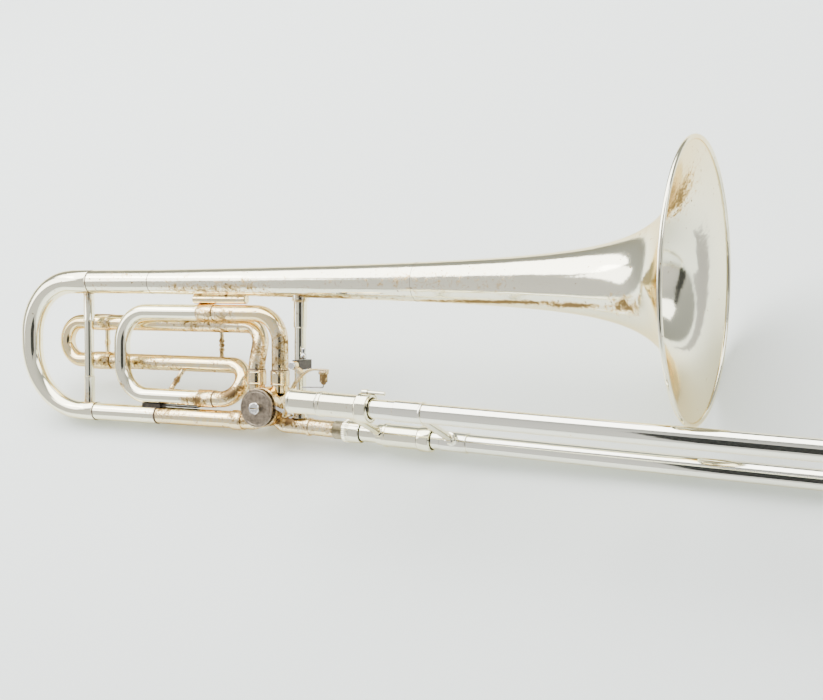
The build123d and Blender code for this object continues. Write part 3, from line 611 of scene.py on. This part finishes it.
def build_f_wrap():
    loop = Piece()
    corners = [(F_SEAM, 96, 0), (-543.5, 96, 0), (-543.5, 17.7, 0), (F_SEAM, 17.7, 0)]
    loop.tube(rounded(corners, 30.0), F_R, F_BORE)
    loop.make("f_loop_smooth", "horn", SILVER, ["f_loop_left_bow"])
    bend = Piece()
    bend.tube(rounded([(F_SEAM, 96, 0), (X2, 96, 0), (X2, 36, 0)], 25.0), F_R, F_BORE)
    bend.make("f_right_bend_smooth", "horn", GILT, ["f_loop_right_bend"])

    crook = Piece()
    rise = Vector((0, 47.8 - 17.7, F_BACK))
    start = Vector((-430, 17.7, 0))
    top = start + rise / 2 + Vector((rise.length / 2, 0, 0))
    line = [Vector((F_SEAM, 17.7, 0))] + arc(start, top, start + rise) + [Vector((-446, 47.8, F_BACK))]
    crook.tube(line, F_R, F_BORE)
    crook.make("f_crook_smooth", "horn", GILT, ["f_crook"])
    back = Piece()
    corners = [(-460, 85, F_BACK), (-432, 85, F_BACK), (X1 - 0.5, 85, -12), (X1, 51, 0), (X1, 36, 0)]
    back.tube(rounded(corners, [60.0, 21.0, 25.0], 2.5), F_R, F_BORE)
    back.make("f_return_smooth", "horn", GILT, ["f_return_bend"])
    sleeves = Piece()
    along_x(sleeves, -569.7, -446, F_R, 6.85, 47.8, F_BACK)
    along_x(sleeves, -569.7, -460, F_R, 6.85, 85, F_BACK)
    sleeves.make("f_sleeves_smooth", "horn", GILT, ["f_slide_sleeves"])

    rings = Piece()
    ring = [(0, 8.9), (9.4, 8.9), (9.8, 8.6), (10.2, 8.9), (11, 8.9)]
    rings.turned((-415, 0, 0), (-404, 0, 0), ring, 7.75)
    for x in (X1, X2):
        ring = [(0, 8.5), (1.2, 8.5), (1.6, 8.2), (2.0, 8.5)]
        ring += [(11, 8.5), (11.4, 8.2), (11.8, 8.5), (13, 8.5)]
        rings.turned((x, 33, 0), (x, 46, 0), ring, F_R)
    for y in (96.0, 17.7):
        ring = [(0, 8.2), (1.0, 8.2), (1.4, 7.95), (1.8, 8.2), (17.5, 8.2)]
        rings.turned((F_SEAM - 16.5, y, 0), (F_SEAM + 1, y, 0), ring, F_R)
    rings.make("f_ferrules_smooth", "horn", GILT, ["tube_ferrules"])


def build_f_slide():
    body = "f_tuning_slide"
    bow = Piece()
    half_circle = arc((-609, 85, F_BACK), (-627.6, 66.4, F_BACK), (-609, 47.8, F_BACK))
    line = [Vector((-591, 85, F_BACK))] + half_circle
    bow.tube(line + [Vector((-591, 47.8, F_BACK))], 7.0, 6.2)
    bow.make("f_bow_smooth", body, GILT, ["f_slide_bow"])
    ferrules = Piece()
    for y, r in ((85, 8.0), (47.8, 8.6)):
        ring = [(0, r), (18.5, r), (19.1, r - 0.3), (19.7, r), (21, r)]
        ferrules.turned((-591, y, F_BACK), (-570, y, F_BACK), ring, 6.78)
    ferrules.make("f_slide_ferrules_smooth", body, GILT, ["f_slide_ferrules"])
    legs = Piece()
    along_x(legs, -591, -515, 6.78, 6.2, 85, F_BACK)
    along_x(legs, -591, -505, 6.78, 6.2, 47.8, F_BACK)
    legs.make("f_legs_smooth", body, NICKEL, ["f_slide_legs"])
    brace = Piece()
    profile = [(0, 3.2), (3.5, 2.4), (5, 2.2), (11, 2.2), (12, 2.9)]
    profile += [(15, 2.9), (16, 2.2), (23, 2.2), (24.5, 2.4), (27.5, 3.2)]
    brace.turned((-577, 52, F_BACK), (-577, 79.5, F_BACK), profile)
    brace.make("f_brace_smooth", body, GILT, ["f_slide_brace"])


# --- rotary valve --------------------------------------------------------------------------------
STUD_R = 11.0
STUD_ANGLE = math.radians(22.7)
SCREW_R = 3.6
SCREW_SLOT_HALF = 0.6


def build_valve():
    casing = Piece()
    profile = [(0, 17.5), (1.5, 17.5), (1.9, 17.1), (2.3, 17.5)]
    profile += [(31.7, 17.5), (32.1, 17.1), (32.5, 17.5), (34, 17.5)]
    casing.turned((VALVE[0], VALVE[1], -17), (VALVE[0], VALVE[1], 17), profile, 14.0)
    casing.make("valve_casing_smooth", "horn", GILT, ["rotor_casing"])
    cap = Piece()
    cap.turned(
        (VALVE[0], VALVE[1], -20),
        (VALVE[0], VALVE[1], -17),
        [(0, 15.0), (0.5, 17.2), (1.0, 18.2), (3.0, 18.2)],
    )
    cap.make("valve_cap_smooth", "horn", SILVER, ["rotor_back_cap"])
    knuckles = Piece()
    knuckle(knuckles, [(-413, 0, 0), (-390.5, 0, 0), (-378.5, 12, 0)], 9.0, 7.75, 6.9)
    knuckle(knuckles, [slide_point(58), slide_point(34.5), (-374.5, 12, 0)], 9.0, 7.2, 6.4)
    knuckle(knuckles, [(X1, 36, 0), (X1, 26.5, 0), (-378.5, 15, 0)], 8.2, 7.4, 6.4)
    knuckle(knuckles, [(X2, 36, 0), (X2, 25.5, 0), (-374.5, 15, 0)], 8.2, 7.4, 6.4)
    knuckles.make("valve_knuckles_smooth", "horn", GILT, ["valve_knuckles"])

    disc = Piece()
    profile = [(0, 16.2), (0.4, 16.6), (2.0, 16.6), (2.4, 16.2)]
    profile += [(2.4, 14.9), (2.15, 14.6), (2.15, 14.2), (2.4, 13.9)]
    disc.turned((VALVE[0], VALVE[1], 19.4), (VALVE[0], VALVE[1], 21.8), profile, 3.5)
    x = VALVE[0] + STUD_R * math.cos(STUD_ANGLE)
    y = VALVE[1] + STUD_R * math.sin(STUD_ANGLE)
    disc.turned((x, y, 18.9), (x, y, 19.5), [(0, 1.5), (0.6, 1.5)], segments=24)
    disc.make("drive_disc_smooth", "rotor_assembly", DARK, ["rotor_drive_disc"])
    button = Piece()
    base = (VALVE[0], VALVE[1], 21.8)
    button.turned(base, (VALVE[0], VALVE[1], 26.2), [(0, 5.2), (3.6, 5.2), (4.2, 4.8), (4.4, 4.2)], 3.5)
    slot_angle = math.asin(SCREW_SLOT_HALF / SCREW_R)
    for side in (-1, 1):
        cheek = []
        for z in (22.2, 26.15):
            ring = []
            for k in range(17):
                angle = slot_angle + (math.pi - 2 * slot_angle) * k / 16
                x = VALVE[0] + SCREW_R * math.cos(angle)
                y = VALVE[1] + side * SCREW_R * math.sin(angle)
                ring.append(Vector((x, y, z)))
            cheek.append(ring)
        button.skin(cheek)
    button.make("drive_screw_smooth", "rotor_assembly", NICKEL, ["rotor_drive_screw"], bevel=0.1)


# --- dark lines where two pieces meet ----------------------------------------------------------------
def seam(piece, at, towards, radius, width=1.0):
    """A thin raised line of dirt round a tube."""
    a = Vector(at)
    run = (Vector(towards) - a).normalized()
    low = radius - 0.1
    high = radius + 0.12
    profile = [(0, low), (width * 0.2, high), (width * 0.8, high), (width, low)]
    piece.turned(a, a + run * width, profile, radius - 0.3)


def build_seams():
    horn = Piece()
    seam(horn, (-505.6, BELL_Y, 0), (0, BELL_Y, 0), 11.2)
    seam(horn, (-230.4, BELL_Y, 0), (0, BELL_Y, 0), bell_radius(230), 0.4)
    seam(horn, (-501.2, 0, 0), (0, 0, 0), 8.3, 1.6)
    seam(horn, (-415.4, 0, 0), (0, 0, 0), 7.9)
    seam(horn, (F_SEAM - 17.0, 96, 0), (0, 96, 0), 7.6)
    seam(horn, (F_SEAM - 17.0, 17.7, 0), (0, 17.7, 0), 7.6)
    seam(horn, (F_SEAM + 1.0, 17.7, 0), (0, 17.7, 0), 7.6)
    for x in (X1, X2):
        seam(horn, (x, 45.9, 0), (x, 99, 0), 7.6)
        seam(horn, (x, 32.6, 0), (x, 99, 0), 7.6)
    seam(horn, slide_point(123.0, *MOUTH), slide_point(300, *MOUTH), 9.6)
    seam(horn, slide_point(157.0, *MOUTH), slide_point(300, *MOUTH), 9.65)
    seam(horn, slide_point(169.5), slide_point(300), 9.65)
    horn.make("horn_seams", "horn", SEAM, bevel=0)
    tuning = Piece()
    seam(tuning, (-579.9, BELL_Y, 0), (0, BELL_Y, 0), 11.3)
    seam(tuning, (-574.9, 0, 0), (0, 0, 0), 8.7)
    tuning.make("tuning_seams", "main_tuning_slide", SEAM, bevel=0)


# --- stays and braces ------------------------------------------------------------------------------
def build_stays():
    bar = Piece()
    bar.turned((-459, 108.3, 0), (-401, 108.3, 0), [(0, 3.4), (0.8, 4.1), (57.2, 4.1), (58, 3.4)])
    bar.make("loop_bar_smooth", "horn", GILT, ["bell_to_loop_bar"])
    stays = Piece()
    profile = [(0, 2.6), (3, 1.9)]
    for start in (7, 11, 15):
        profile += [(start, 1.9), (start + 0.8, 2.7), (start + 2, 2.7), (start + 2.8, 1.9)]
    profile += [(23, 1.9), (26, 2.6)]
    stays.turned((-441.5, 53.4, F_BACK), (-441.5, 79.4, F_BACK), profile, segments=32)
    low = (-489.0, 22.5, -1.8)
    high = (-483.0, 43.2, F_BACK + 1.8)
    length = (Vector(high) - Vector(low)).length
    profile = [(0, 3.0), (2.5, 2.2), (length * 0.42, 2.2), (length * 0.44, 3.0), (length * 0.52, 3.0)]
    profile += [(length * 0.54, 2.2), (length - 2.5, 2.2), (length, 3.0)]
    stays.turned(low, high, profile, segments=32)
    stays.make("wrap_stays_smooth", "horn", GILT, ["f_wrap_stays"])

    x = -345.0
    brace = Piece()
    brace.turned((x, 118, 0), (x, 84, 0), [(0, 7.4), (10.5, 7.4), (11.2, 5.9), (33.2, 5.9), (34, 5.3)])
    brace.pipe((x, 8, 0), (x, 84.5, 0), 5.0)
    brace.turned((x, 5.5, 0), (x, 10.5, 0), [(0, 7.2), (4.2, 7.2), (5.0, 6.4)])
    brace.make("bell_brace_smooth", "horn", SILVER, ["bell_brace"])


# --- receivers, nut and barrels --------------------------------------------------------------------
def build_receivers():
    goose = Piece()
    along_slide(goose, 58, 88, 7.0, 6.4)
    band = [(0, 7.6), (0.6, 8.0), (2.3, 8.0), (2.9, 7.6)]
    goose.turned(slide_point(60.8), slide_point(63.7), band, 7.0)
    goose.make("gooseneck_smooth", "horn", GILT, ["gooseneck"])
    thread = Piece()
    profile = []
    for i in range(16):
        profile += [(1.1 * i, 7.6), (1.1 * i + 0.5, 8.0)]
    profile.append((18.0, 7.6))
    thread.turned(slide_point(88), slide_point(106), profile, 6.75)
    thread.make("receiver_thread_smooth", "horn", THREAD, ["slide_receiver_thread"], bevel=0)

    nut = Piece()
    nut.turned(
        slide_point(98),
        slide_point(114.5),
        [(0, 9.2), (0.5, 9.7), (6.0, 9.7), (6.3, 9.3), (7.0, 9.3), (7.4, 9.6), (15.9, 9.6), (16.5, 9.1)],
        8.9,
    )
    nut.turned(slide_point(98.05), slide_point(106.2), [(0, 9.0), (8.15, 9.0)], 8.1)
    ridge = [(0, 0.2), (0.4, 0.4), (4.4, 0.4), (4.8, 0.2)]
    for i in range(36):
        a = 2 * math.pi * i / 36
        y = 9.6 * math.cos(a)
        z = 9.6 * math.sin(a)
        nut.turned(slide_point(98.8, y, z), slide_point(103.6, y, z), ridge, segments=8)
    nut.make("lock_nut_smooth", "nut", SILVER, ["lock_nut"], bevel=0)
    taper = Piece()
    along_slide(taper, 107, 137, 7.7, 7.15)
    taper.turned(slide_point(107), slide_point(109), [(0, 8.5), (2, 8.5)], 7.15)
    taper.make("slide_taper_smooth", "horn", SILVER, ["slide_taper"])

    receiver = Piece()
    profile = [(0, 9.5), (0.4, 9.9), (2.1, 9.9), (2.5, 9.3)]
    profile += [(25.9, 9.3), (26.3, 8.95), (26.9, 8.95), (27.5, 9.3)]
    receiver.turned(slide_point(96, *MOUTH), slide_point(123.5, *MOUTH), profile, 6.5)
    receiver.make("mouth_receiver_smooth", "horn", SILVER, ["mouthpiece_receiver"])


def build_barrels():
    barrels = Piece()
    corks = Piece()
    for s0, s1, across, z in [(123.5, 169.0, *MOUTH), (137.0, 181.5, 0.0, 0.0)]:
        length = s1 - s0
        ring = length - 11.5
        profile = [(0, 9.9), (0.3, 10.2), (2.7, 10.2), (3.0, 9.6), (ring, 9.6), (ring + 0.4, 10.4)]
        profile += [(ring + 1.0, 10.7), (length - 1.6, 10.7), (length - 0.5, 10.4), (length, 9.7)]
        low = slide_point(s0, across, z)
        barrels.turned(low, slide_point(s1, across, z), profile, 8.7)
        barrels.turned(low, slide_point(s0 + 2, across, z), [(0, 9.5), (2, 9.5)], 7.15)
        along_slide(corks, s0 + 2.0, 149.6, 8.65, 7.15, across, z)
    barrels.make("barrels_smooth", "horn", SILVER, ["slide_barrels"])
    corks.make("barrel_corks_smooth", "horn", CORK, ["barrel_corks"], bevel=0)

    brace = Piece()
    width = math.hypot(*MOUTH)
    near = AXIS_ACROSS * 8.0
    far = AXIS_ACROSS * (width - 8.5)
    start = slide_point(134, near.y, near.z)
    end = slide_point(134, far.y, far.z)
    span = (Vector(end) - Vector(start)).length
    profile = [(0, 4.4), (2, 4.4), (3, 3.0), (span - 3, 3.0), (span - 2, 4.4), (span, 4.4)]
    brace.turned(start, end, profile)
    brace.turned(slide_point(131), slide_point(137), [(0, 8.7), (0.3, 9.0), (5.7, 9.0), (6, 8.7)], 7.7)
    brace.make("inner_brace_smooth", "horn", SILVER, ["inner_brace"])
    lock = Piece()
    profile = [(0, 11.6), (0.3, 11.9), (9.2, 11.9), (9.5, 11.6)]
    lock.turned(slide_point(159, *MOUTH), slide_point(168.5, *MOUTH), profile, 10.8)
    y = MOUTH[0] + 12.2
    z = MOUTH[1] + 2.0
    profile = [(0, 1.8), (0.5, 2.2), (5.0, 2.2), (6, 1.5), (19.5, 1.5), (20, 1.1)]
    lock.turned(slide_point(161, y, z), slide_point(181, y, z), profile, segments=24)
    lock.make("lock_ring_smooth", "slide_lock", SILVER, ["slide_lock_ring"])


# --- hand slide ------------------------------------------------------------------------------------
def build_hand_slide():
    body = "hand_slide"
    inner = Piece()
    sleeves = Piece()
    ferrules = Piece()
    for side, across, z, start in (("upper", *MOUTH, 123.5), ("lower", 0.0, 0.0, 109.0)):
        along_slide(inner, start, 838, 7.15, 6.95, across, z, 20.0)
        outer = Piece()
        along_slide(outer, 150, 843, 7.7, 7.25, across, z)
        outer.make(f"{side}_slide_tube_smooth", body, BRIGHT, [f"{side}_outer_tube"])
        profile = [(0, 8.0), (0.4, 8.3), (21.7, 8.3), (21.9, 8.6), (22.4, 8.8), (23.2, 8.8), (23.5, 8.5)]
        sleeves.turned(slide_point(190, across, z), slide_point(213.5, across, z), profile, 7.7)
        profile = [(0, 8.3), (0.4, 8.6), (20.4, 8.6), (20.8, 8.35), (21.2, 8.6), (22, 8.6)]
        ferrules.turned(slide_point(827, across, z), slide_point(849, across, z), profile, 7.7)
    inner.make("inner_tubes_smooth", "horn", NICKEL, ["inner_slide_tubes"])
    sleeves.make("saddle_sleeves_smooth", body, BRIGHT, ["outer_brace_sleeves"])
    ferrules.make("bow_ferrules_smooth", body, BRIGHT, ["bow_ferrules"])

    width = math.hypot(*MOUTH)
    brace = Piece()
    near = AXIS_ACROSS * 8.2
    far = AXIS_ACROSS * (width - 8.2)
    start = slide_point(201.75, near.y, near.z)
    end = slide_point(201.75, far.y, far.z)
    span = (Vector(end) - Vector(start)).length
    profile = [(0, 5.4), (1.4, 4.2), (3.0, 3.4), (3.2, 4.6), (6.0, 4.6), (6.4, 3.2)]
    profile += [(span - r[0], r[1]) for r in reversed(profile)]
    brace.turned(start, end, profile)
    brace.make("outer_brace_smooth", body, BRIGHT, ["outer_brace"])

    run = (Vector(slide_point(1.0)) - Vector(slide_point(0.0))).normalized()
    first = Vector(slide_point(849))
    last = Vector(slide_point(849, *MOUTH))
    tip = (first + last) / 2 + run * (width / 2)
    bow = Piece()
    line = [first - run * 6] + arc(first, tip, last, 48) + [last - run * 6]
    bow.tube(line, 7.7, 6.95)
    bow.make("slide_bow_smooth", body, BRIGHT, ["slide_bow"])
    bumper = Piece()
    bumper.turned(tip + run * 6.5, tip + run * 11.7, [(0, 6.5), (3.7, 6.5), (4.7, 6.0), (5.2, 5.0)])
    bumper.make("slide_bumper_smooth", body, RUBBER, ["slide_bumper"])


# --- thumb lever -----------------------------------------------------------------------------------
PIVOT = (-333.5, 53.0)
STRAP_POINTS = [
    (-343.1, 9.1),
    (-336.9, 28.9),
    (-330.7, 39.9),
    (-321.8, 47.8),
    (-312.9, 50.2),
    (-300.2, 49.7),
]
STRAP_HALF = 0.85
STRAP_Z = (25.6, 31.0)


def curve_through(points, steps):
    """A smooth line through flat points."""
    ends = [points[0]] + list(points) + [points[-1]]
    line = []
    for i in range(len(points) - 1):
        p0, p1, p2, p3 = (Vector(ends[i + k]) for k in range(4))
        for k in range(steps):
            t = k / steps
            spot = p1 * 2 + (p2 - p0) * t + (p0 * 2 - p1 * 5 + p2 * 4 - p3) * t * t
            spot += (p1 * 3 - p0 - p2 * 3 + p3) * t * t * t
            line.append(tuple(spot / 2))
    line.append(points[-1])
    return line


def build_lever():
    body = "lever_assembly"
    px, py = PIVOT
    z_low, z_high = STRAP_Z
    strap = Piece()
    line = curve_through(STRAP_POINTS, 10)
    rings = []
    for i, (x, y) in enumerate(line):
        before = line[max(i - 1, 0)]
        after = line[min(i + 1, len(line) - 1)]
        run = math.hypot(after[0] - before[0], after[1] - before[1])
        nx = -(after[1] - before[1]) / run * STRAP_HALF
        ny = (after[0] - before[0]) / run * STRAP_HALF
        corners = [(x + nx, y + ny, z_low), (x - nx, y - ny, z_low)]
        corners += [(x - nx, y - ny, z_high), (x + nx, y + ny, z_high)]
        rings.append([Vector(c) for c in corners])
    strap.skin(rings)
    strap.turned((px, py, z_low), (px, py, z_high), [(0, 3.4), (5.4, 3.4)], 1.65, segments=40)
    near = [(px + 1.6, py - 3.2), (px + 3.1, py - 1.0)]
    far = [(-325.6, 43.8), (-323.0, 46.9)]
    arm = []
    for (x0, y0), (x1, y1) in (near, far):
        corners = [(x0, y0, z_low), (x0, y0, z_high), (x1, y1, z_high), (x1, y1, z_low)]
        arm.append([Vector(c) for c in corners])
    strap.skin(arm)
    end_x, end_y = STRAP_POINTS[0]
    strap.turned((end_x, end_y, 17.1), (end_x, end_y, 26.6), [(0, 1.1), (9.5, 1.1)], segments=24)
    strap.make("lever_strap_smooth", body, GILT, ["thumb_lever"], bevel=0.25)

    x = -304.2
    top = 48.85
    z = sum(STRAP_Z) / 2
    knob = Piece()
    profile = [(0, 4.1), (0.3, 4.3), (2.1, 4.3), (2.4, 3.4), (9.0, 3.4)]
    knob.turned((x, top, z), (x, top - 9.0, z), profile, segments=40)
    knob.ball((x, top - 9.0, z), 2.4)
    knob.make("lever_knob_smooth", body, GILT, ["thumb_knob"])
    wire = Piece()
    low = top - 13.4
    wire.tube(rounded([(x, top - 11.4, z), (x, low, z), (x - 21, low - 0.6, z)], 1.4, 0.6), 0.6)
    wire.make("lever_wire_smooth", body, STEEL, ["thumb_lever_wire"], bevel=0)

    screws = Piece()
    sx = px - 0.5
    screws.turned((sx, py + 4.2, 12), (sx, py + 11, 12), [(0, 1.6), (6.8, 1.6)], segments=32)
    screws.ball((sx, py + 7.2, 12), 2.9)
    head = [(0, 2.2), (3.0, 2.2), (3.5, 1.8)]
    screws.turned((sx, py + 10.5, 12), (sx, py + 14, 12), head, segments=32)
    screws.turned((px, py, 25.2), (px, py, 31.3), [(0, 1.6), (6.1, 1.6)], segments=32)
    head = [(0, 3.2), (1.2, 3.2), (1.6, 2.8)]
    screws.turned((px, py, 31.3), (px, py, 32.9), head, segments=32)
    screws.make("lever_screws_smooth", "horn", NICKEL, ["lever_screws"])


# --- CAD nodes that are shown as they are ------------------------------------------------------------
CAD_LOOKS = {
    "rotor": BRASS,
    "rotor_bearings": BRASS,
    "rotor_cork_bumpers": CORK,
    "loop_to_neck_bracket": BLACKENED,
    "lever_saddle": BLACKENED,
    "valve_link": NICKEL,
    "leadpipe": BRASS,
    "water_key_mount": BRIGHT,
    "water_key_cork": CORK,
    "water_key_lever": BRIGHT,
    "water_key_screw": STEEL,
    "water_key_spring": STEEL,
}


def dress_cad():
    """Give the CAD nodes that stay visible their tarnish and painted-shade marks and their materials."""
    back = TURN.transposed()
    for name, material in CAD_LOOKS.items():
        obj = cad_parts[name]
        spots = [back @ (v.co - ORIGIN) / MM for v in obj.data.vertices]
        paint(obj, [tarnish_and_shade_at(p) for p in spots])
        finish_mesh(obj, material, 0.12)


# --- floor, light and camera -------------------------------------------------------------------------
def build_floor():
    """A plain pale floor, just below the instrument's lowest point."""
    size = 30.0
    mesh = bpy.data.meshes.new("floor")
    corners = [(-size, -size, 0), (size, -size, 0), (size, size, 0), (-size, size, 0)]
    mesh.from_pydata(corners, [], [(0, 1, 2, 3)])
    obj = bpy.data.objects.new("floor", mesh)
    obj.location.z = -0.0004
    bpy.context.scene.collection.objects.link(obj)
    material = bpy.data.materials.new("pale_floor")
    material.use_nodes = True
    shader = material.node_tree.nodes["Principled BSDF"]
    shader.inputs["Base Color"].default_value = (0.90, 0.95, 0.925, 1)
    shader.inputs["Roughness"].default_value = 0.75
    shader.inputs["Specular IOR Level"].default_value = 0.2
    mesh.materials.append(material)


def build_world():
    """A studio that fades from white on one side to grey on the other, along Y."""
    world = bpy.data.worlds.new("studio")
    bpy.context.scene.world = world
    world.use_nodes = True
    tree = world.node_tree
    sky = tree.nodes["Background"]
    coords = tree.nodes.new("ShaderNodeTexCoord")
    split = tree.nodes.new("ShaderNodeSeparateXYZ")
    tree.links.new(coords.outputs["Generated"], split.inputs[0])
    depth = math_node(tree, "MULTIPLY_ADD", (split, "Y"), 0.5)
    depth.inputs[2].default_value = 0.5
    stops = [
        (0.0, grey(0.95)),
        (0.30, grey(0.85)),
        (0.55, (0.52, 0.54, 0.53)),
        (1.0, (0.42, 0.44, 0.43)),
    ]
    walls = ramp_node(tree, depth, "Value", stops)
    link(tree, walls, "Color", sky, "Color")
    sky.inputs["Strength"].default_value = 1.08


def add_light(name, location, aim, size, power, size_y=None):
    """A soft area light. It is square unless it has a second size."""
    data = bpy.data.lights.new(name, "AREA")
    data.energy = power
    data.size = size
    if size_y:
        data.shape = "RECTANGLE"
        data.size_y = size_y
    obj = bpy.data.objects.new(name, data)
    obj.location = location
    obj.rotation_euler = (Vector(aim) - Vector(location)).to_track_quat("-Z", "Y").to_euler()
    bpy.context.scene.collection.objects.link(obj)


def torn_edge(left, low, right, high, depth, tear=38.0, steps=26):
    """The outline of a rectangle whose edges wander like torn paper."""
    corners = [(left, low), (right, low), (right, high), (left, high)]
    outline = []
    for i in range(4):
        a = Vector(corners[i])
        b = Vector(corners[(i + 1) % 4])
        across = (b - a).normalized().orthogonal()
        for k in range(steps):
            spot = a + (b - a) * (k / steps)
            shift = noise.noise(Vector((spot.x * 0.013, spot.y * 0.013, 4.0)))
            shift += 0.5 * noise.noise(Vector((spot.x * 0.05, spot.y * 0.05, 9.0)))
            spot += across * shift * tear
            outline.append((spot.x, spot.y, depth))
    return outline


def add_card(name, corners, value):
    """A dark card that only reflections see."""
    mesh = bpy.data.meshes.new(name)
    mesh.from_pydata(corners, [], [tuple(range(len(corners)))])
    obj = bpy.data.objects.new(name, mesh)
    bpy.context.scene.collection.objects.link(obj)
    material = bpy.data.materials.new(name)
    material.use_nodes = True
    shader = material.node_tree.nodes["Principled BSDF"]
    shader.inputs["Base Color"].default_value = (value, value, value * 1.05, 1)
    shader.inputs["Roughness"].default_value = 1.0
    shader.inputs["Specular IOR Level"].default_value = 0.0
    mesh.materials.append(material)
    obj.visible_camera = False
    obj.visible_diffuse = False
    obj.visible_shadow = False


def build_stage():
    build_floor()
    build_world()
    add_light("overhead", (-0.8, 0.85, 1.7), (-0.2, 0, 0), 3.0, 122.0, 1.8)
    add_light("left_key", (-1.9, -0.3, 1.3), (-0.2, 0, 0.05), 1.2, 24.0)
    add_light("right_fill", (1.3, 0.5, 1.3), (0.3, 0, 0.05), 1.0, 14.0)
    corners = torn_edge(-260, -600, 840, 280, 960)
    add_card("dark_card", [place(c) for c in corners], 0.03)
    torn = torn_edge(205, 95, 800, 300, 0.5, 26.0)
    add_card("grey_paper", [Vector(c) * MM for c in torn], 0.30)
    strip = [(-750, -390), (-510, -510), (-100, 30), (350, 355)]
    strip += [(1005, 270), (1035, 535), (290, 655), (-245, 415)]
    add_card("dark_strip", [place((1600, y, z)) for y, z in strip], 0.02)


CAMERA_AT = (209.2, 114.2, 878.3)
CAMERA_ANGLES = (44.0638, 18.1702, 19.4465)


def build_camera():
    data = bpy.data.cameras.new("camera")
    data.lens = 51.95
    data.sensor_width = 36.0
    data.clip_start = 0.02
    camera = bpy.data.objects.new("camera", data)
    camera.location = place(CAMERA_AT)
    camera.rotation_euler = Euler([math.radians(a) for a in CAMERA_ANGLES], "XYZ")
    bpy.context.scene.collection.objects.link(camera)
    bpy.context.scene.camera = camera


build_bell()
build_tuning_slide()
build_f_wrap()
build_f_slide()
build_valve()
build_seams()
build_stays()
build_receivers()
build_barrels()
build_hand_slide()
build_lever()
dress_cad()
build_stage()
build_camera()
